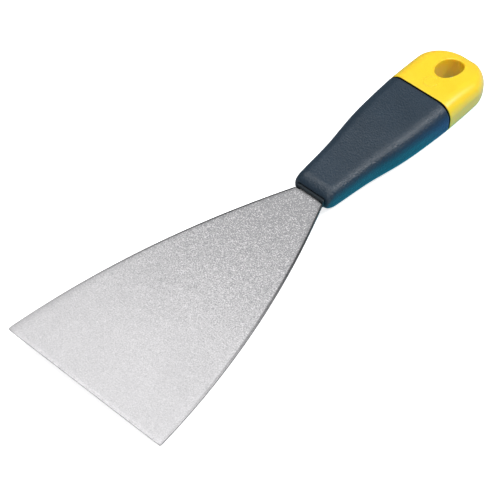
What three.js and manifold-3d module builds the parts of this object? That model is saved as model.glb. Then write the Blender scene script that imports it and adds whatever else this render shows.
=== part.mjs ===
// Flared filling and stripping knife with a two-tone moulded handle.
// Millimetres. X is across the blade, Y runs along the knife towards the butt, Z is up, square to the blade.
// Shapes are drawn with Y = 0 at the front of the nose lip and Z = 0 in the middle of the blade's thickness.
// The last step moves them into the part's frame: origin at the centre of the bounding box, on its underside.
import * as THREE from "three";
import { mergeVertices } from "three/addons/utils/BufferGeometryUtils.js";
import Module from "manifold-3d";

const wasm = await Module();
wasm.setup();

// Blade
const BLADE_REACH = 127.7; // nose lip to working edge
const BLADE_WIDTH = 80;
const BLADE_THICKNESS = 1.1;
const NECK_WIDTH = 14.6;
const SIDE_BULGE = 0.67; // how far the blade's sides bow outwards of a straight taper
const TIP_CORNER = 0.5;
const HONED_LENGTH = 1.3; // bevel ground along the working edge, on both faces
const HONED_EDGE = 0.5; // thickness left at the working edge
const TANG_WIDTH = 10;
const TANG_END = 53;

// Handle envelope, shared by the grip and the cap
const HANDLE_LENGTH = 103.8;
const SEAM_Y = 69.6; // middle of the groove between grip and cap
const GROOVE = 0.7;
const HANDLE_WIDTH = 33; // at the seam
const HANDLE_THICKNESS = 16.8; // at the seam
const CORNER_SHARE = 0.82; // edge radius as a share of the half thickness
const GRIP_FRONT = 1.25;
const FRONT_ROUND_Y = 4.6; // length of the grip's rounded front edge
const FRONT_ROUND_X = 1.4; // how far that edge draws in the sides
const FRONT_ROUND_Z = 3; // how far it draws in the top and underside
// That edge's section, as superellipse powers: 2 is round, 1 a chamfer.
const FRONT_POWER_X = 2.8;
const FRONT_POWER_Z = 1.5;
const SEAM_ROUND = 0.5; // edge radius on both sides of the groove
const SEAM_MIDDLE = SEAM_ROUND * (1 - Math.SQRT1_2); // how far the middle of that edge draws in

// Cap: past these starts it draws in to the butt's tip, on quarter superellipses of these powers.
const PLAN_START = 88.2; // seen from above
const PLAN_POWER = 1.8;
const SIDE_START = 75; // seen from the side
const SIDE_POWER = 1.9;
const TIP_SHARE = 0.9995; // the tip's small end face has the size of the cap at this share of its length
const HOLE_Y = 89.3;
const HOLE_HALF_X = 5.2;
const HOLE_HALF_Y = 8;

// Core
const WALL_X = 2.2; // grip wall at the sides
const WALL_Z = 2;
const CORE_START = 4;
const LIP_DEPTH = 1;
const LIP_HALF_X = 7.2;
const LIP_HALF_Z = 2;
const LIP_EDGE = 0.3; // bevel on the lip's front edge
const NOSE_HALF_X = 6.5;
const NOSE_CORNER = 0.8; // corner radius of the lip and the nose behind it
const CORE_TIGHTER = 1; // the core's corner radii are this much smaller than the grip's
const SPIGOT_END = 77.5;
const SPIGOT_HALF_X = 11;
const SPIGOT_HALF_Z = 5;
const SPIGOT_CORNER = 2.5;
const FIT_GAP = 0.3;

// Pins through core and tang
const PIN_RADIUS = 1.5;
const PIN_YS = { tang_pin_front: 17, tang_pin_rear: 43 };
const PIN_RECESS = 0.6; // pin ends sit this far below the core's faces

const CORNER_STEPS = 7;

// Half width and half thickness of the handle from nose to seam, as [Y, size].
// The station behind the seam only sets the curve's slope there.
function curveThrough(stations) {
  return new THREE.SplineCurve(stations.map(([y, size]) => new THREE.Vector2(y, size)));
}
const widthCurve = curveThrough([
  [0, 9.4], [9, 10.3], [24.4, 11.8], [45.2, 14.95], [SEAM_Y, HANDLE_WIDTH / 2], [85, HANDLE_WIDTH / 2],
]);
const thicknessCurve = curveThrough([
  [0, 5.5], [9, 5.6], [24.4, 6.25], [45.2, 7.65], [SEAM_Y, HANDLE_THICKNESS / 2], [85, HANDLE_THICKNESS / 2],
]);

// Reads a curve's size at one Y by halving the interval.
function sizeAt(curve, y) {
  let low = 0;
  let high = 1;
  for (let i = 0; i < 30; i += 1) {
    const middle = (low + high) / 2;
    if (curve.getPoint(middle).x < y) low = middle;
    else high = middle;
  }
  return curve.getPoint(low).y;
}

// Share left of a quarter superellipse: 1 at the start, 0 at the end.
function rollOff(share, power) {
  return Math.pow(Math.max(1 - Math.pow(share, power), 0), 1 / power);
}

function toSolid(geometry) {
  const bare = geometry.clone();
  bare.deleteAttribute("normal");
  bare.deleteAttribute("uv");
  const merged = mergeVertices(bare, 1e-4);
  return new wasm.Manifold(
    new wasm.Mesh({
      numProp: 3,
      vertProperties: new Float32Array(merged.attributes.position.array),
      triVerts: new Uint32Array(merged.index.array),
    }),
  );
}

// Closed body through a row of rounded-rectangle rings { y, a, b, r }: half sizes a and b, corner radius r.
function loft(rings) {
  const perRing = 4 * (CORNER_STEPS + 1);
  const positions = [];
  const index = [];
  for (const { y, a, b, r } of rings) {
    const radius = Math.min(r, a - 0.01, b - 0.01);
    for (let corner = 0; corner < 4; corner += 1) {
      const signX = corner === 0 || corner === 3 ? 1 : -1;
      const signZ = corner < 2 ? 1 : -1;
      for (let step = 0; step <= CORNER_STEPS; step += 1) {
        const angle = ((corner + step / CORNER_STEPS) * Math.PI) / 2;
        positions.push(
          signX * (a - radius) + radius * Math.cos(angle),
          y,
          signZ * (b - radius) + radius * Math.sin(angle),
        );
      }
    }
  }
  for (let ring = 0; ring + 1 < rings.length; ring += 1) {
    for (let i = 0; i < perRing; i += 1) {
      const p = ring * perRing + i;
      const q = ring * perRing + ((i + 1) % perRing);
      index.push(p, p + perRing, q, q, p + perRing, q + perRing);
    }
  }
  const last = (rings.length - 1) * perRing;
  for (let i = 1; i + 1 < perRing; i += 1) {
    index.push(0, i, i + 1);
    index.push(last, last + i + 1, last + i);
  }
  const geometry = new THREE.BufferGeometry();
  geometry.setAttribute("position", new THREE.Float32BufferAttribute(positions, 3));
  geometry.setIndex(index);
  return toSolid(geometry);
}

// One ring of the handle's outer surface, drawn in by the given amounts.
// Behind the seam the handle is straight.
function handleRing(y, insetX = 0, insetZ = 0) {
  const straight = y > SEAM_Y;
  const a = (straight ? HANDLE_WIDTH / 2 : sizeAt(widthCurve, y)) - insetX;
  const b = (straight ? HANDLE_THICKNESS / 2 : sizeAt(thicknessCurve, y)) - insetZ;
  return { y, a, b, r: CORNER_SHARE * b };
}

function makeBlade() {
  const halfWidth = (t) =>
    NECK_WIDTH / 2 + ((BLADE_WIDTH - NECK_WIDTH) / 2) * (t + SIDE_BULGE * t * (1 - t));
  const outline = new THREE.Shape();
  const shoulderY = -FIT_GAP;
  const tang = TANG_WIDTH / 2;
  const sideSteps = 20;
  outline.moveTo(tang, shoulderY);
  for (let i = 0; i < sideSteps; i += 1) {
    const t = i / sideSteps;
    outline.lineTo(halfWidth(t), shoulderY - t * (BLADE_REACH + shoulderY));
  }
  outline.lineTo(BLADE_WIDTH / 2, TIP_CORNER - BLADE_REACH);
  outline.lineTo(BLADE_WIDTH / 2 - TIP_CORNER, -BLADE_REACH);
  outline.lineTo(TIP_CORNER - BLADE_WIDTH / 2, -BLADE_REACH);
  outline.lineTo(-BLADE_WIDTH / 2, TIP_CORNER - BLADE_REACH);
  for (let i = sideSteps - 1; i >= 0; i -= 1) {
    const t = i / sideSteps;
    outline.lineTo(-halfWidth(t), shoulderY - t * (BLADE_REACH + shoulderY));
  }
  outline.lineTo(-tang, shoulderY);
  outline.lineTo(-tang, TANG_END - tang);
  outline.absarc(0, TANG_END - tang, tang, Math.PI, 0, true);
  for (const y of Object.values(PIN_YS)) {
    const hole = new THREE.Path();
    hole.absarc(0, y, PIN_RADIUS + FIT_GAP, 0, 2 * Math.PI, false);
    outline.holes.push(hole);
  }
  const plate = new THREE.ExtrudeGeometry(outline, {
    depth: BLADE_THICKNESS,
    bevelEnabled: false,
    curveSegments: 10,
  });
  plate.translate(0, 0, -BLADE_THICKNESS / 2);
  let blade = toSolid(plate);
  const slope = (BLADE_THICKNESS - HONED_EDGE) / 2 / HONED_LENGTH;
  const overrun = 1; // the cutters reach this far past the edge and the corners
  for (const side of [1, -1]) {
    const wedge = new THREE.Shape([
      new THREE.Vector2(HONED_LENGTH - BLADE_REACH, side * (BLADE_THICKNESS / 2)),
      new THREE.Vector2(-overrun - BLADE_REACH, side * (HONED_EDGE / 2 - slope * overrun)),
      new THREE.Vector2(-overrun - BLADE_REACH, side * BLADE_THICKNESS),
      new THREE.Vector2(HONED_LENGTH - BLADE_REACH, side * BLADE_THICKNESS),
    ]);
    const cutter = new THREE.ExtrudeGeometry(wedge, {
      depth: BLADE_WIDTH + 2 * overrun,
      bevelEnabled: false,
    });
    // The wedge is drawn in (Y, Z) and pushed along X.
    cutter.applyMatrix4(new THREE.Matrix4().makeBasis(
      new THREE.Vector3(0, 1, 0),
      new THREE.Vector3(0, 0, 1),
      new THREE.Vector3(1, 0, 0),
    ));
    cutter.translate(-BLADE_WIDTH / 2 - overrun, 0, 0);
    blade = blade.subtract(toSolid(cutter));
  }
  return blade;
}

// Upright pin or hole along Z at the given Y.
function post(radius, halfLength, y) {
  const cylinder = new THREE.CylinderGeometry(radius, radius, 2 * halfLength, 20);
  cylinder.rotateX(Math.PI / 2);
  cylinder.translate(0, y, 0);
  return toSolid(cylinder);
}

function makePin(y) {
  const coreHalf = sizeAt(thicknessCurve, y) - WALL_Z;
  return post(PIN_RADIUS, coreHalf - PIN_RECESS, y);
}

// The core's outer shape. A positive gap makes the larger shape that is cut from its neighbours.
function coreShape(gap, lip) {
  const rings = [];
  const ring = (y, a, b, r) => rings.push({ y, a: a + gap, b: b + gap, r });
  if (lip) {
    ring(0, LIP_HALF_X - LIP_EDGE, LIP_HALF_Z - LIP_EDGE, NOSE_CORNER);
    ring(LIP_EDGE, LIP_HALF_X, LIP_HALF_Z, NOSE_CORNER);
    ring(LIP_DEPTH, LIP_HALF_X, LIP_HALF_Z, NOSE_CORNER);
    ring(LIP_DEPTH, NOSE_HALF_X, LIP_HALF_Z, NOSE_CORNER);
  } else {
    ring(0, NOSE_HALF_X, LIP_HALF_Z, NOSE_CORNER);
  }
  ring(CORE_START - gap, NOSE_HALF_X, LIP_HALF_Z, NOSE_CORNER);
  const bodyEnd = SEAM_Y - GROOVE;
  const steps = 10;
  for (let i = 0; i <= steps; i += 1) {
    const y = CORE_START - gap + ((bodyEnd - CORE_START + gap) * i) / steps;
    const outer = handleRing(y, WALL_X, WALL_Z);
    ring(y, outer.a, outer.b, outer.r - CORE_TIGHTER);
  }
  ring(bodyEnd, SPIGOT_HALF_X, SPIGOT_HALF_Z, SPIGOT_CORNER);
  ring(SPIGOT_END + gap, SPIGOT_HALF_X, SPIGOT_HALF_Z, SPIGOT_CORNER);
  return loft(rings);
}

function makeCore() {
  const slotLength = TANG_END + FIT_GAP + 1;
  const slot = new THREE.BoxGeometry(TANG_WIDTH + 2 * FIT_GAP, slotLength, BLADE_THICKNESS + 2 * FIT_GAP);
  slot.translate(0, slotLength / 2 - 1, 0);
  let core = coreShape(0, true).subtract(toSolid(slot));
  for (const y of Object.values(PIN_YS)) {
    core = core.subtract(post(PIN_RADIUS + FIT_GAP, HANDLE_THICKNESS, y));
  }
  return core;
}

function makeGrip() {
  const rings = [];
  const frontSteps = 5;
  for (let i = 0; i < frontSteps; i += 1) {
    const share = Math.sin((i / frontSteps) * (Math.PI / 2));
    const insetX = FRONT_ROUND_X * (1 - rollOff(1 - share, FRONT_POWER_X));
    const insetZ = FRONT_ROUND_Z * (1 - rollOff(1 - share, FRONT_POWER_Z));
    rings.push(handleRing(GRIP_FRONT + FRONT_ROUND_Y * share, insetX, insetZ));
  }
  const start = GRIP_FRONT + FRONT_ROUND_Y;
  const end = SEAM_Y - GROOVE / 2;
  const steps = 20;
  for (let i = 0; i <= steps; i += 1) {
    rings.push(handleRing(start + ((end - SEAM_ROUND - start) * i) / steps));
  }
  rings.push(handleRing(end - SEAM_MIDDLE, SEAM_MIDDLE, SEAM_MIDDLE));
  rings.push(handleRing(end, SEAM_ROUND, SEAM_ROUND));
  // The socket runs out of the sleeve's rear end, so it is open at both ends.
  return loft(rings).subtract(coreShape(FIT_GAP, false));
}

// Upright oval hole through the cap.
function hangHole() {
  const cylinder = new THREE.CylinderGeometry(1, 1, 2 * HANDLE_THICKNESS, 40);
  cylinder.rotateX(Math.PI / 2);
  cylinder.scale(HOLE_HALF_X, HOLE_HALF_Y, 1);
  cylinder.translate(0, HOLE_Y, 0);
  return toSolid(cylinder);
}

// Share of its full size that the cap has at one Y, where it draws in from the given start to the tip.
function buttShare(y, start, power) {
  return rollOff(Math.max((y - start) / (HANDLE_LENGTH - start), 0), power);
}

function makeCap() {
  const start = SEAM_Y + GROOVE / 2;
  const rings = [
    handleRing(start, SEAM_ROUND, SEAM_ROUND),
    handleRing(start + SEAM_MIDDLE, SEAM_MIDDLE, SEAM_MIDDLE),
    handleRing(start + SEAM_ROUND),
  ];
  const steps = 20;
  for (let i = 0; i <= steps; i += 1) {
    const along = Math.min(Math.sin((i / steps) * (Math.PI / 2)), TIP_SHARE);
    const y = SIDE_START + (HANDLE_LENGTH - SIDE_START) * along;
    const b = (HANDLE_THICKNESS / 2) * buttShare(y, SIDE_START, SIDE_POWER);
    const a = (HANDLE_WIDTH / 2) * buttShare(y, PLAN_START, PLAN_POWER);
    rings.push({ y, a, b, r: CORNER_SHARE * b });
  }
  rings[rings.length - 1].y = HANDLE_LENGTH;
  const socketStart = start - 1;
  const socket = loft([
    { y: socketStart, a: SPIGOT_HALF_X + FIT_GAP, b: SPIGOT_HALF_Z + FIT_GAP, r: SPIGOT_CORNER },
    { y: SPIGOT_END + FIT_GAP, a: SPIGOT_HALF_X + FIT_GAP, b: SPIGOT_HALF_Z + FIT_GAP, r: SPIGOT_CORNER },
  ]);
  return loft(rings).subtract(socket).subtract(hangHole());
}

// Turns a solid into a named mesh in the part's frame.
function toMesh(name, solid, color, roughness, metalness) {
  const { vertProperties, triVerts } = solid.getMesh();
  const geometry = new THREE.BufferGeometry();
  geometry.setAttribute("position", new THREE.BufferAttribute(new Float32Array(vertProperties), 3));
  geometry.setIndex(new THREE.BufferAttribute(new Uint32Array(triVerts), 1));
  geometry.translate(0, (BLADE_REACH - HANDLE_LENGTH) / 2, HANDLE_THICKNESS / 2);
  const flat = geometry.toNonIndexed();
  flat.computeVertexNormals();
  const mesh = new THREE.Mesh(flat, new THREE.MeshStandardMaterial({ color, roughness, metalness }));
  mesh.name = name;
  return mesh;
}

const part = new THREE.Group();
part.name = "filling_knife";
part.add(toMesh("blade", makeBlade(), "#c9c8ca", 0.45, 1));
part.add(toMesh("handle_core", makeCore(), "#3a4148", 0.5, 0));
part.add(toMesh("soft_grip", makeGrip(), "#33414d", 0.7, 0));
part.add(toMesh("butt_cap", makeCap(), "#f5da2b", 0.4, 0));
for (const [name, y] of Object.entries(PIN_YS)) {
  part.add(toMesh(name, makePin(y), "#a9abad", 0.35, 1));
}

export default part;
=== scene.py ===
"""Flared filling knife: a pale, finely grained steel blade in a two-tone moulded handle.

Shapes are drawn in millimetres with Y = 0 at the front of the nose lip, +Y towards the butt, and Z = 0 in the
middle of the blade's thickness. place() moves them into the row frame, in metres.
"""
import math

import bpy
import numpy as np
from mathutils import Matrix, Vector


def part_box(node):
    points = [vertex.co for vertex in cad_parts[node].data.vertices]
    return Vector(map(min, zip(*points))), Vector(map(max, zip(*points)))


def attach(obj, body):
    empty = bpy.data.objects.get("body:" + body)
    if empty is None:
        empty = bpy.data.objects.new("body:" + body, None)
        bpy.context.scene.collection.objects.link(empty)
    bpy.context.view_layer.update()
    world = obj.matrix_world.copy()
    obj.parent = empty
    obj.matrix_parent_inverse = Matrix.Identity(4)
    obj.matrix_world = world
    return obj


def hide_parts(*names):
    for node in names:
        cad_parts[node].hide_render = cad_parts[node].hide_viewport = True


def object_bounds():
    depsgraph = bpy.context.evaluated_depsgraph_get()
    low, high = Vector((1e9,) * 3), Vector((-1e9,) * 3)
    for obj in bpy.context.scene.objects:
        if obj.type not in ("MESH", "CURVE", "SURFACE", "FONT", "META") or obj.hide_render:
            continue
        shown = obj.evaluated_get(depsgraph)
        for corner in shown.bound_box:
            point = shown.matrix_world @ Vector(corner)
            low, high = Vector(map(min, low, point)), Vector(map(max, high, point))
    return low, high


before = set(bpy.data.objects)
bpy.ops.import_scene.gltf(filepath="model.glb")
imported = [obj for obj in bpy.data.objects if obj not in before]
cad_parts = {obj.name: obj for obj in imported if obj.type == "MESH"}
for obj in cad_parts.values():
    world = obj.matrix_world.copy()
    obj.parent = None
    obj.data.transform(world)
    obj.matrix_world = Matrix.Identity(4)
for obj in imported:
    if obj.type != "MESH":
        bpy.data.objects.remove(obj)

cad_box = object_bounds()

MM = 0.001

# Places from the frame
BLADE_LOW, BLADE_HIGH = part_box("blade")
GRIP_LOW, GRIP_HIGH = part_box("soft_grip")
CAP_LOW, CAP_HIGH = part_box("butt_cap")
CORE_LOW, CORE_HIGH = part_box("handle_core")
NOSE_Y = CORE_LOW[1]  # Y = 0 of the drawing
MID_Z = (BLADE_LOW[2] + BLADE_HIGH[2]) / 2  # Z = 0 of the drawing


def local_y(metres):
    """A row-frame Y, in metres, as a drawing Y, in millimetres."""
    return (metres - NOSE_Y) / MM


# Blade, in millimetres; halves are half widths
EDGE_Y = local_y(BLADE_LOW[1])
TANG_END = local_y(BLADE_HIGH[1])
BLADE_HALF = BLADE_HIGH[0] / MM
BLADE_THICK = (BLADE_HIGH[2] - BLADE_LOW[2]) / MM
NECK_HALF = 7.3
SIDE_BULGE = 0.67
SHOULDER_Y = -0.3
TANG_HALF = 5.0
TIP_CORNER = 0.6
HONED_LENGTH = 1.3
HONED_EDGE = 0.5
SHEARED_ROUND = 0.16
PIN_HOLE = 1.8
PIN_RIM = 0.08
PIN_PATCH = 3.3  # the part of the tang that is remade round a pin hole
PIN_YS = (17.0, 43.0)

# Handle, in millimetres
GRIP_FRONT = local_y(GRIP_LOW[1])
GRIP_END = local_y(GRIP_HIGH[1])
CAP_FRONT = local_y(CAP_LOW[1])
BUTT_END = local_y(CAP_HIGH[1])
SEAM_Y = (GRIP_END + CAP_FRONT) / 2
CAP_HALF_X = CAP_HIGH[0] / MM
CAP_HALF_Z = (CAP_HIGH[2] - CAP_LOW[2]) / MM / 2
CORNER_SHARE = 0.82
# Half width and half thickness from nose to seam, as (Y, size).
# The station behind the seam only sets the curves' slope there.
WIDTH_STATIONS = ((0, 9.4), (9, 10.3), (24.4, 11.8), (45.2, 14.95), (SEAM_Y, CAP_HALF_X), (85, CAP_HALF_X))
THICK_STATIONS = ((0, 5.5), (9, 5.6), (24.4, 6.25), (45.2, 7.65), (SEAM_Y, CAP_HALF_Z), (85, CAP_HALF_Z))
FRONT_ROUND = (4.6, 1.4, 3.0)  # the grip's rounded front edge along Y, X and Z
FRONT_POWERS = (2.8, 1.5)  # that edge's section at the sides and at top and bottom: 2 is round, 1 a chamfer
SEAM_ROUND = 0.5
FIT_GAP = 0.3
WALL_X, WALL_Z = 2.2, 2.0  # the grip's wall
BORE_FRONT = 4.0 - FIT_GAP
BORE_TIGHTER = 1  # the bore's corner radii are this much smaller than the outside's
NOSE_SLOT = (6.5 + FIT_GAP, 2.0 + FIT_GAP)
NOSE_CORNER = 0.8
SLOT_RIM = 0.35  # the softened edge of the nose slot
PLAN_START, PLAN_POWER = 88.2, 1.8  # where and how the cap draws in to its tip, seen from above
SIDE_START, SIDE_POWER = 75.0, 1.9  # the same, seen from the side
SOCKET = (11.0 + FIT_GAP, 5.0 + FIT_GAP)
SOCKET_END = 77.5 + FIT_GAP
SOCKET_CORNER = 2.5
HOLE_Y = 89.3
HOLE_HALF = (5.1, 7.9)
HOLE_FLARE = 0.6
HOLE_PATCH = (HOLE_HALF[0] + 2.0, HOLE_HALF[1] + 2.2)  # the part of the surface that is remade round the hole
MARK_Y, MARK_RADIUS, MARK_TUBE = 76.5, 3.0, 0.24  # plain moulded ring on the cap


def place(points):
    """Drawing points in millimetres to row-frame points in metres."""
    return np.asarray(points, float) * MM + np.array([0.0, NOSE_Y, MID_Z])


# --- shape helpers ---------------------------------------------------------------------------------------

def smooth_curve(stations):
    """Uniform Catmull-Rom curve through (Y, size) stations, as a function of Y."""
    pts = np.array([stations[0], *stations, stations[-1]], float)
    table = []
    for p0, p1, p2, p3 in zip(pts[:-3], pts[1:-2], pts[2:-1], pts[3:]):
        v0, v1 = (p2 - p0) / 2, (p3 - p1) / 2
        cubic, square = 2 * p1 - 2 * p2 + v0 + v1, -3 * p1 + 3 * p2 - 2 * v0 - v1
        for t in np.linspace(0, 1, 200, endpoint=False):
            table.append(cubic * t**3 + square * t**2 + v0 * t + p1)
    table = np.array(table + [pts[-1]])
    return lambda y: float(np.interp(y, table[:, 0], table[:, 1]))


width_at = smooth_curve(WIDTH_STATIONS)
thick_at = smooth_curve(THICK_STATIONS)


def ring(y, a, b, r):
    """One rounded-rectangle ring: half sizes a and b, corner radius r."""
    return {"y": y, "a": a, "b": b, "r": min(r, a - 0.01, b - 0.01)}


def handle_ring(y, inset_x=0.0, inset_z=0.0):
    """One ring of the handle's outer surface, drawn in by the insets. It is straight behind the seam."""
    straight = y > SEAM_Y
    a = (CAP_HALF_X if straight else min(width_at(y), CAP_HALF_X)) - inset_x
    b = (CAP_HALF_Z if straight else min(thick_at(y), CAP_HALF_Z)) - inset_z
    return ring(y, a, b, CORNER_SHARE * b)


def section(shape, flat_x, flat_z, corner):
    """The points of a ring, anticlockwise seen from -Y, as an array of (x, y, z)."""
    a, b, r = shape["a"], shape["b"], shape["r"]
    out = []
    quarters = (
        (a - r, b - r, (-(a - r), b), flat_x),
        (-(a - r), b - r, (-a, -(b - r)), flat_z),
        (-(a - r), -(b - r), (a - r, -b), flat_x),
        (a - r, -(b - r), (a, b - r), flat_z),
    )
    for k, (centre_x, centre_z, end, flats) in enumerate(quarters):
        for i in range(corner + 1):
            angle = (k + i / corner) * math.pi / 2
            out.append((centre_x + r * math.cos(angle), centre_z + r * math.sin(angle)))
        start = out[-1]
        for i in range(1, flats):
            t = i / flats
            out.append((start[0] + (end[0] - start[0]) * t, start[1] + (end[1] - start[1]) * t))
    pts = np.array(out)
    return np.column_stack([pts[:, 0], np.full(len(pts), shape["y"]), pts[:, 1]])


def loft(rings, flat_x=14, flat_z=6, corner=14, closed=False):
    """Vertices and quads of a body through the rings. closed joins the last ring to the first."""
    sections = [section(s, flat_x, flat_z, corner) for s in rings]
    n = len(sections[0])
    verts = np.concatenate(sections)
    faces = []
    count = len(sections)
    for j in range(count if closed else count - 1):
        low, high = j * n, ((j + 1) % count) * n
        for i in range(n):
            k = (i + 1) % n
            faces.append((low + i, high + i, high + k, low + k))
    if not closed:
        faces.append(tuple(range(n)))
        faces.append(tuple(reversed(range((count - 1) * n, count * n))))
    return verts, faces


def pierce(verts, faces, centre_y, half, flare, patch, height, patch_rings=5, flare_rings=6, wall_rings=5):
    """Cuts an upright oval hole through a body that is the same above and below Z = 0.

    The faces over the patch are taken out, and each side is refilled with rings that run from the patch's
    ragged edge to the hole's flared rim, then down the wall. height(x, y) is the body's upper surface.
    """
    mid = np.array([verts[list(f)].mean(0) for f in faces])
    inside = (mid[:, 0] / patch[0]) ** 2 + ((mid[:, 1] - centre_y) / patch[1]) ** 2 < 1
    crosses = (np.cross(verts[f[1]] - verts[f[0]], verts[f[2]] - verts[f[1]]) for f in faces)
    facing = np.array([abs(cross[2]) > 1e-9 for cross in crosses])
    drop = inside & facing & (np.abs(mid[:, 2]) > 0.2 * np.abs(verts[:, 2]).max())
    kept = [f for f, gone in zip(faces, drop) if not gone]

    def edge_loop(sign):
        """The ragged edge, in the order in which the dropped faces run round it."""
        edges = set()
        for f, gone, m in zip(faces, drop, mid):
            if gone and m[2] * sign > 0:
                edges.update(zip(f, f[1:] + f[:1]))
        rim = {a: b for a, b in edges if (b, a) not in edges}
        start = min(rim, key=lambda v: (round(math.atan2(verts[v][1] - centre_y, verts[v][0]), 6)))
        order, here = [start], rim[start]
        while here != start:
            order.append(here)
            here = rim[here]
        return order

    top = edge_loop(1)
    below = {tuple(np.round(verts[v][:2], 6)): v for v in edge_loop(-1)}
    bottom = [below[tuple(np.round(verts[v][:2], 6))] for v in top]
    edge = verts[top]
    angle = np.arctan2((edge[:, 1] - centre_y) / half[1], edge[:, 0] / half[0])
    rim_x, rim_y = half[0] + flare, half[1] + flare
    rim_xy = np.column_stack([rim_x * np.cos(angle), centre_y + rim_y * np.sin(angle)])
    column = []
    for i in range(1, patch_rings + 1):
        t = i / patch_rings
        xy = edge[:, :2] * (1 - t) + rim_xy * t
        z = [height(x, y) for x, y in xy]
        column.append(np.column_stack([xy, z]))
    rim_z = column[-1][:, 2]
    for i in range(1, flare_rings + 1):
        turn = i / flare_rings * math.pi / 2
        out = flare * (1 - math.sin(turn))
        x = (half[0] + out) * np.cos(angle)
        y = centre_y + (half[1] + out) * np.sin(angle)
        column.append(np.column_stack([x, y, rim_z - flare * (1 - math.cos(turn))]))
    wall_top = column[-1]
    for i in range(1, wall_rings):
        level = wall_top.copy()
        level[:, 2] *= 1 - 2 * i / wall_rings
        column.append(level)
    for level in reversed(column[: patch_rings + flare_rings]):
        mirrored = level.copy()
        mirrored[:, 2] *= -1
        column.append(mirrored)
    n = len(top)
    ids = [top]
    for level in column:
        base = len(verts)
        verts = np.concatenate([verts, level])
        ids.append(list(range(base, base + n)))
    ids.append(bottom)
    for upper, lower in zip(ids, ids[1:]):
        for i in range(n):
            k = (i + 1) % n
            kept.append((upper[i], upper[k], lower[k], lower[i]))
    return verts, kept


def make_piece(name, verts, faces, material, node=None, sharp=40.0):
    """A mesh piece in the row frame, smooth but for its sharp edges, riding on the part."""
    mesh = bpy.data.meshes.new(name)
    mesh.from_pydata(place(verts).tolist(), [], [list(f) for f in faces])
    mesh.validate()
    piece = bpy.data.objects.new(name, mesh)
    bpy.context.scene.collection.objects.link(piece)
    mesh.materials.append(material)
    mesh.shade_smooth()
    mesh.set_sharp_from_angle(angle=math.radians(sharp))
    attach(piece, "root")
    if node:
        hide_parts(node)
    return piece


# --- material helpers ------------------------------------------------------------------------------------

class Nodes:
    """A material's node tree, with short calls for the nodes the finishes share."""

    def __init__(self, name):
        self.material = bpy.data.materials.new(name)
        self.material.use_nodes = True
        self.tree = self.material.node_tree
        self.shader = next(n for n in self.tree.nodes if n.type == "BSDF_PRINCIPLED")
        self.coords = self.tree.nodes.new("ShaderNodeTexCoord").outputs["Object"]

    def link(self, output, target):
        self.tree.links.new(output, target)

    def noise(self, per_metre, detail=3.0, rough=0.5, distortion=0.0):
        node = self.tree.nodes.new("ShaderNodeTexNoise")
        node.inputs["Scale"].default_value = per_metre
        node.inputs["Detail"].default_value = detail
        node.inputs["Roughness"].default_value = rough
        node.inputs["Distortion"].default_value = distortion
        self.link(self.coords, node.inputs["Vector"])
        return node.outputs["Fac"]

    def cells(self, per_metre, feature):
        node = self.tree.nodes.new("ShaderNodeTexVoronoi")
        node.feature = feature
        node.inputs["Scale"].default_value = per_metre
        self.link(self.coords, node.inputs["Vector"])
        return node.outputs["Distance"]

    def span(self, value, low, high, to_low=0.0, to_high=1.0):
        node = self.tree.nodes.new("ShaderNodeMapRange")
        for key, number in zip(("From Min", "From Max", "To Min", "To Max"), (low, high, to_low, to_high)):
            node.inputs[key].default_value = number
        self.link(value, node.inputs["Value"])
        return node.outputs["Result"]

    def maths(self, operation, first, second):
        node = self.tree.nodes.new("ShaderNodeMath")
        node.operation = operation
        for value, socket in zip((first, second), node.inputs):
            if isinstance(value, (int, float)):
                socket.default_value = value
            else:
                self.link(value, socket)
        return node.outputs[0]

    def mix(self, factor, first, second):
        node = self.tree.nodes.new("ShaderNodeMix")
        node.data_type = "RGBA"
        self.link(factor, node.inputs["Factor"])
        for value, key in ((first, "A"), (second, "B")):
            socket = next(s for s in node.inputs if s.name == key and s.type == "RGBA")
            if isinstance(value, tuple):
                socket.default_value = (*value, 1.0)
            else:
                self.link(value, socket)
        return next(s for s in node.outputs if s.type == "RGBA")

    def axis(self, letter):
        node = self.tree.nodes.new("ShaderNodeSeparateXYZ")
        self.link(self.coords, node.inputs[0])
        return node.outputs[letter]

    def bump(self, height, metres, strength=1.0, normal=None):
        node = self.tree.nodes.new("ShaderNodeBump")
        node.inputs["Strength"].default_value = strength
        node.inputs["Distance"].default_value = metres
        self.link(height, node.inputs["Height"])
        if normal:
            self.link(normal, node.inputs["Normal"])
        return node.outputs["Normal"]

    def set(self, **values):
        for key, value in values.items():
            socket = self.shader.inputs[key.replace("_", " ")]
            if isinstance(value, bpy.types.NodeSocket):
                self.link(value, socket)
            else:
                socket.default_value = value


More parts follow.
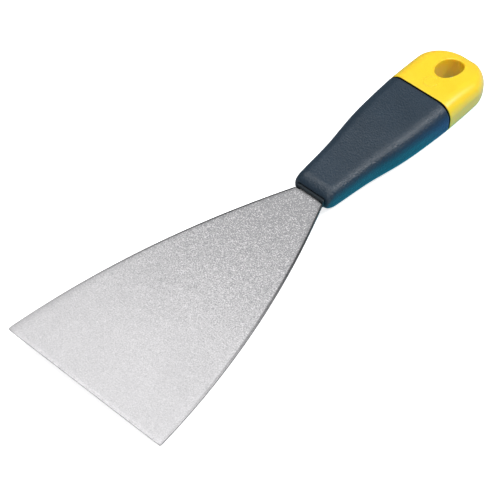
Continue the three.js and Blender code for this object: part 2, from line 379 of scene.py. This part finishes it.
def blade_steel():
    """Pale matt spring steel; its speckled grain is stronger towards the neck. Painted shade darkens it
    towards the neck and along its sides.
    """
    m = Nodes("blade_steel")
    along = m.span(m.axis("Y"), BLADE_LOW[1], NOSE_Y)  # 0 at the working edge, 1 at the neck
    grain = m.noise(1900.0, 2.0, 0.7)
    fleck = m.noise(850.0, 2.0, 0.6, distortion=1.5)
    cloud = m.noise(40.0, 2.0)
    mixed = m.maths("ADD", m.maths("MULTIPLY", grain, 0.65), m.maths("MULTIPLY", fleck, 0.35))
    contrast = m.maths("ADD", m.maths("MULTIPLY", m.maths("POWER", along, 2.4), 13.0), 1.5)
    speckle = m.maths("MULTIPLY", m.maths("SUBTRACT", mixed, 0.5), contrast)
    tone = m.maths("ADD", speckle, m.span(cloud, 0.3, 0.7, 0.46, 0.54))
    # Painted shade: the tone is darkened towards the neck, by the handle.
    tone = m.maths("SUBTRACT", tone, m.maths("MULTIPLY", m.maths("POWER", along, 3.0), 0.85))
    # gap is the distance to the nearer side, in metres, from the blade's half width at this Y
    taper = m.maths("SUBTRACT", 1.0, along)
    bow = m.maths("MULTIPLY", m.maths("MULTIPLY", taper, along), SIDE_BULGE)
    share = m.maths("ADD", taper, bow)
    half = m.maths("ADD", m.maths("MULTIPLY", share, (BLADE_HALF - NECK_HALF) * MM), NECK_HALF * MM)
    gap = m.maths("SUBTRACT", half, m.maths("ABSOLUTE", m.axis("X"), 0.0))
    # Painted shade: a dark line just inside each side, stronger towards the neck, and a darker band along the
    # sides near the neck.
    rim = m.span(gap, 0.0006, 0.0012, 1.0, 0.0)
    shade = m.span(gap, 0.0, 0.0025, 1.0, 0.0)
    painted_side_shade = m.maths("MULTIPLY", rim, m.span(along, 0.1, 0.8, 0.12, 0.95))
    painted_side_shade = m.maths("MAXIMUM", painted_side_shade, m.maths("MULTIPLY", shade, m.span(along, 0.55, 1.0, 0.0, 0.4)))
    colour = m.mix(tone, (0.335, 0.335, 0.345), (0.76, 0.747, 0.757))
    m.set(
        Base_Color=m.mix(painted_side_shade, colour, (0.035, 0.036, 0.038)),
        Metallic=0.85,
        Roughness=m.span(mixed, 0.3, 0.7, 0.58, 0.46),
        Normal=m.bump(mixed, 0.00006, 0.5),
    )
    return m.material


def pin_steel():
    """Drawn steel wire, faintly uneven in tone."""
    m = Nodes("pin_steel")
    m.set(
        Base_Color=m.mix(m.noise(900.0), (0.42, 0.43, 0.44), (0.60, 0.61, 0.62)),
        Metallic=1.0,
        Roughness=m.span(m.noise(2500.0), 0.3, 0.7, 0.3, 0.42),
    )
    return m.material


def grip_rubber():
    """Dark slate-blue soft moulding with a fine leathery grain."""
    m = Nodes("grip_rubber")
    cells = m.cells(1300.0, "SMOOTH_F1")
    fine = m.noise(2600.0, 2.0, 0.6)
    height = m.maths("ADD", m.maths("MULTIPLY", cells, 0.6), m.maths("MULTIPLY", fine, 0.6))
    cloud = m.maths("ADD", m.maths("MULTIPLY", m.noise(60.0, 3.0), 0.5), m.maths("MULTIPLY", fine, 0.5))
    m.set(
        Base_Color=m.mix(m.span(cloud, 0.35, 0.65), (0.005, 0.019, 0.035), (0.014, 0.031, 0.052)),
        Roughness=m.span(fine, 0.3, 0.7, 0.26, 0.46),
        Normal=m.bump(height, 0.00027, 0.8),
        Specular_IOR_Level=0.5,
    )
    return m.material


def core_plastic(name="core_plastic", depth=1.0):
    """Dark grey hard moulding, satin. depth scales its colour."""
    m = Nodes(name)
    fine = m.noise(1800.0, 2.0)
    tones = [tuple(depth * c for c in tone) for tone in ((0.010, 0.016, 0.021), (0.020, 0.028, 0.035))]
    m.set(
        Base_Color=m.mix(m.noise(80.0), *tones),
        Roughness=m.span(fine, 0.3, 0.7, 0.38, 0.5),
        Normal=m.bump(fine, 0.00004, 0.4),
        Specular_IOR_Level=0.3,
    )
    return m.material


def cap_plastic():
    """Yellow hard moulding, satin gloss, very slightly uneven in tone and surface."""
    m = Nodes("cap_plastic")
    ripple = m.noise(220.0, 2.0)
    fine = m.noise(2400.0, 2.0)
    colour = m.mix(m.span(m.noise(45.0), 0.3, 0.7), (0.88, 0.585, 0.017), (0.92, 0.63, 0.024))
    m.set(
        Base_Color=colour,
        Roughness=m.span(fine, 0.3, 0.7, 0.3, 0.38),
        Normal=m.bump(fine, 0.00003, 0.3, m.bump(ripple, 0.00015, 0.15)),
        Subsurface_Weight=0.3,
        Subsurface_Scale=0.003,
    )
    return m.material


# --- pieces ----------------------------------------------------------------------------------------------

def blade_half_width(y):
    """Half the blade's width at a drawing Y in front of the shoulder."""
    t = (SHOULDER_Y - y) / (SHOULDER_Y - EDGE_Y)
    return NECK_HALF + (BLADE_HALF - NECK_HALF) * (t + SIDE_BULGE * t * (1 - t))


def build_blade(material):
    """The plate from the working edge back to the round end of the tang, then its pin holes."""
    half_thick = BLADE_THICK / 2
    rings = []
    honed_y = EDGE_Y + HONED_LENGTH
    for back in (0, 0.1, 0.25, 0.4, TIP_CORNER, 0.9, HONED_LENGTH):
        short = max(TIP_CORNER - back, 0.0)
        drawn_in = TIP_CORNER - math.sqrt(TIP_CORNER**2 - short**2)
        thick = HONED_EDGE / 2 + (half_thick - HONED_EDGE / 2) * back / HONED_LENGTH
        rings.append(ring(EDGE_Y + back, blade_half_width(EDGE_Y + back) - drawn_in, thick, SHEARED_ROUND))
    for y in np.linspace(honed_y + 0.15, SHOULDER_Y - 0.3, 90):
        rings.append(ring(y, blade_half_width(y), half_thick, SHEARED_ROUND))
    rings.append(ring(SHOULDER_Y - 0.1, NECK_HALF - 0.03, half_thick, SHEARED_ROUND))
    rings.append(ring(SHOULDER_Y, NECK_HALF - 0.15, half_thick, SHEARED_ROUND))
    rings.append(ring(SHOULDER_Y, TANG_HALF, half_thick, SHEARED_ROUND))
    for y in np.arange(SHOULDER_Y + 0.6, TANG_END - TANG_HALF, 0.6):
        rings.append(ring(y, TANG_HALF, half_thick, SHEARED_ROUND))
    for turn in np.linspace(0, math.pi / 2, 14):
        y = TANG_END - TANG_HALF + TANG_HALF * math.sin(turn)
        rings.append(ring(y, max(TANG_HALF * math.cos(turn), 0.4), half_thick, SHEARED_ROUND))
    verts, faces = loft(rings, flat_x=20, flat_z=2, corner=4)
    for y in PIN_YS:
        hole, patch = (PIN_HOLE, PIN_HOLE), (PIN_PATCH, PIN_PATCH)
        verts, faces = pierce(verts, faces, y, hole, PIN_RIM, patch, lambda x, y: half_thick, 2, 2, 2)
    return make_piece("blade_plate", verts, faces, material, "blade", 25.0)


def bore_ring(y):
    """One ring of the sleeve's bore, a fit gap clear of the core."""
    outer = handle_ring(y, WALL_X - FIT_GAP, WALL_Z - FIT_GAP)
    return ring(y, outer["a"], outer["b"], outer["r"] - BORE_TIGHTER)


def build_grip(material):
    """The sleeve: forwards along the bore, out through the nose slot, then back along the outside."""
    slot_a, slot_b = NOSE_SLOT
    along, across, up = FRONT_ROUND
    rings = [bore_ring(y) for y in np.linspace(GRIP_END, BORE_FRONT, 24)]
    rings.append(ring(BORE_FRONT, slot_a, slot_b, NOSE_CORNER))
    for turn in np.linspace(0, math.pi / 2, 5):
        out = SLOT_RIM * (1 - math.cos(turn))
        y = GRIP_FRONT + SLOT_RIM * (1 - math.sin(turn))
        rings.append(ring(y, slot_a + out, slot_b + out, NOSE_CORNER + out))
    # front wall and its rounded edge
    front = handle_ring(GRIP_FRONT, across, up)
    for t in (0.35, 0.7):
        blend = {k: rings[-1][k] * (1 - t) + front[k] * t for k in ("a", "b", "r")}
        rings.append(ring(GRIP_FRONT, blend["a"], blend["b"], blend["r"]))
    for turn in np.linspace(0, math.pi / 2, 14):
        share = 1 - math.cos(turn)
        inset_x, inset_z = (
            size * (1 - max(1 - (1 - share) ** power, 0) ** (1 / power))
            for size, power in zip((across, up), FRONT_POWERS)
        )
        rings.append(handle_ring(GRIP_FRONT + along * share, inset_x, inset_z))
    # outside, to the groove
    last = GRIP_END - SEAM_ROUND
    for y in np.linspace(GRIP_FRONT + along, last, 90)[1:]:
        rings.append(handle_ring(y))
    for turn in np.linspace(0, math.pi / 2, 6)[1:]:
        left = SEAM_ROUND * (1 - math.cos(turn))
        rings.append(handle_ring(last + SEAM_ROUND * math.sin(turn), left, left))
    # rear face, with one ring just outside the bore
    end = handle_ring(GRIP_END, WALL_X - FIT_GAP, WALL_Z - FIT_GAP)
    rings.append(ring(GRIP_END, end["a"] + 0.5, end["b"] + 0.5, end["r"] - 0.5))
    verts, faces = loft(rings, closed=True)
    return make_piece("grip_sleeve", verts, faces, material, "soft_grip", 45.0)


def butt_share(y, start, power):
    """The share of its full size that the cap has at Y, where it draws in from start to the tip."""
    along = min(max((y - start) / (BUTT_END - start), 0.0), 1.0)
    return (1 - along**power) ** (1 / power)


def cap_top(x, y):
    """Height of the cap's upper surface over its flat middle."""
    return CAP_HALF_Z * butt_share(y, SIDE_START, SIDE_POWER)


def build_cap(material, groove_shadow_material):
    """The cap from its socket's bottom, round the groove's edge and back to the tip, then the hang hole."""
    rings = [ring(y, *SOCKET, SOCKET_CORNER) for y in (SOCKET_END, CAP_FRONT)]
    for turn in np.linspace(0, math.pi / 2, 6):
        left = SEAM_ROUND * (1 - math.sin(turn))
        rings.append(handle_ring(CAP_FRONT + SEAM_ROUND * (1 - math.cos(turn)), left, left))
    for y in np.linspace(CAP_FRONT + SEAM_ROUND, SIDE_START, 9)[1:]:
        rings.append(handle_ring(y))
    for turn in np.linspace(0, math.pi / 2, 80)[1:-1]:
        y = SIDE_START + (BUTT_END - SIDE_START) * math.sin(turn)
        thin = cap_top(0, y)
        rings.append(ring(y, CAP_HALF_X * butt_share(y, PLAN_START, PLAN_POWER), thin, CORNER_SHARE * thin))
    verts, faces = loft(rings, flat_x=26, flat_z=6, corner=16)
    verts, faces = pierce(verts, faces, HOLE_Y, HOLE_HALF, HOLE_FLARE, HOLE_PATCH, cap_top)
    cap = make_piece("cap_body", verts, faces, material, "butt_cap", 45.0)
    # The end face in the groove gets a near-black painted shadow, so that the groove reads as a thin dark
    # line.
    cap.data.materials.append(groove_shadow_material)
    end_face = place([(0, CAP_FRONT + 0.08, 0)])[0][1]
    for face in cap.data.polygons:
        if face.center.y < end_face:
            face.material_index = 1
    return cap


def build_mark(material):
    """A plain moulded ring on the cap, sunk a little into its top."""
    turns, around = 64, 10
    verts, faces = [], []
    for i in range(turns):
        turn = 2 * math.pi * i / turns
        for k in range(around):
            roll = 2 * math.pi * k / around
            out = MARK_RADIUS + MARK_TUBE * math.cos(roll)
            y = MARK_Y + out * math.sin(turn)
            verts.append((out * math.cos(turn), y, cap_top(0, y) + MARK_TUBE * (math.sin(roll) - 0.3)))
            ahead = (i + 1) % turns
            up = (k + 1) % around
            faces.append((i * around + k, ahead * around + k, ahead * around + up, i * around + up))
    return make_piece("cap_ring", np.array(verts), faces, material)


yellow = cap_plastic()
build_blade(blade_steel())
build_grip(grip_rubber())
# The groove's painted shadow is the core's moulding darkened to 0.3.
build_cap(yellow, core_plastic("groove_painted_shadow", 0.3))
build_mark(yellow)
carried_over = {"handle_core": core_plastic(), "tang_pin_front": pin_steel(), "tang_pin_rear": pin_steel()}
for node, finish in carried_over.items():
    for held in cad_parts[node].material_slots:
        held.material = finish


# --- floor, light and camera -----------------------------------------------------------------------------

def build_floor():
    mesh = bpy.data.meshes.new("floor")
    half = 3.0
    corners = [(-half, -half, 0), (half, -half, 0), (half, half, 0), (-half, half, 0)]
    mesh.from_pydata(corners, [], [(0, 1, 2, 3)])
    floor = bpy.data.objects.new("floor", mesh)
    bpy.context.scene.collection.objects.link(floor)
    m = Nodes("floor_white")
    seen = m.tree.nodes.new("ShaderNodeLightPath").outputs["Is Camera Ray"]
    white = m.mix(m.noise(4.0), (0.93, 0.93, 0.93), (0.95, 0.95, 0.95))
    # The floor is white and self-lit to look at. To everything else it is self-lit more weakly, and the light
    # it throws back and gives off is grey by the blade, and by the handle dark on the left, teal on the right
    # of the grip and blue on the right of the cap.
    along = m.axis("Y")
    past_seam = m.span(along, GRIP_HIGH[1] - 0.01, GRIP_HIGH[1] + 0.006)
    right = m.mix(past_seam, (0.03, 0.60, 0.85), (0.10, 0.33, 0.80))
    handle = m.mix(m.span(m.axis("X"), -0.012, 0.012), (0.10, 0.13, 0.16), right)
    bounce = m.mix(m.span(along, NOSE_Y - 0.012, NOSE_Y), (0.42, 0.42, 0.43), handle)
    colour = m.mix(seen, bounce, white)
    m.set(
        Base_Color=colour,
        Emission_Color=colour,
        Emission_Strength=m.span(seen, 0.0, 1.0, 0.40, 0.75),
        Roughness=0.9,
    )
    mesh.materials.append(m.material)
    floor.location.z = cad_box[0][2] - 0.0002


def softbox(name, place_m, aim, size, radiance):
    """A soft rectangular light of the given radiance, facing aim."""
    data = bpy.data.lights.new(name, "AREA")
    data.shape = "RECTANGLE"
    data.size, data.size_y = size
    data.energy = radiance * math.pi * size[0] * size[1]
    light = bpy.data.objects.new(name, data)
    bpy.context.scene.collection.objects.link(light)
    direction = Vector(aim) - Vector(place_m)
    light.matrix_world = Matrix.Translation(place_m) @ direction.to_track_quat("-Z", "Y").to_matrix().to_4x4()


def build_lights():
    world = bpy.data.worlds.new("studio")
    bpy.context.scene.world = world
    world.use_nodes = True
    back = world.node_tree.nodes["Background"]
    back.inputs["Color"].default_value = (1.0, 1.0, 1.0, 1.0)
    back.inputs["Strength"].default_value = 0.22
    softbox("overhead", (-0.15, 0.1, 1.0), (-0.15, 0.1, 0), (1.3, 0.9), 1.85)
    softbox("front", (0.35, -0.5, 1.0), (0, 0.05, 0), (0.5, 0.5), 3.2)
    softbox("side", (0.9, -0.5, 0.3), (0, 0, 0), (0.4, 0.3), 2.5)
    softbox("ridge", (0.46, 0.5, 0.72), (0, 0.03, 0), (0.26, 0.26), 20.0)
    softbox("rim", (-0.40, 0.0, 0.92), (0, 0, 0), (0.16, 0.16), 12.0)


def build_camera():
    """A level camera at an orbit angle and elevation round the drawing's origin, moved sideways and up."""
    azimuth, elevation = math.radians(42.25), math.radians(49.54)
    distance, shift_right, shift_up = 801.53, -24.53, -20.8  # millimetres
    back = Vector((
        math.sin(azimuth) * math.cos(elevation), -math.cos(azimuth) * math.cos(elevation), math.sin(elevation)
    ))
    right = Vector((math.cos(azimuth), math.sin(azimuth), 0.0))
    up = back.cross(right)
    spot = back * distance + right * shift_right + up * shift_up
    data = bpy.data.cameras.new("camera")
    data.sensor_width = 36.0
    data.lens = 145.16
    data.clip_start, data.clip_end = 0.05, 20.0
    camera = bpy.data.objects.new("camera", data)
    bpy.context.scene.collection.objects.link(camera)
    turned = Matrix((right, up, back)).transposed().to_4x4()
    camera.matrix_world = Matrix.Translation(Vector(place([spot])[0])) @ turned
    bpy.context.scene.camera = camera


build_floor()
build_lights()
build_camera()
bpy.context.scene.view_settings.view_transform = "Standard"

bpy.context.view_layer.update()
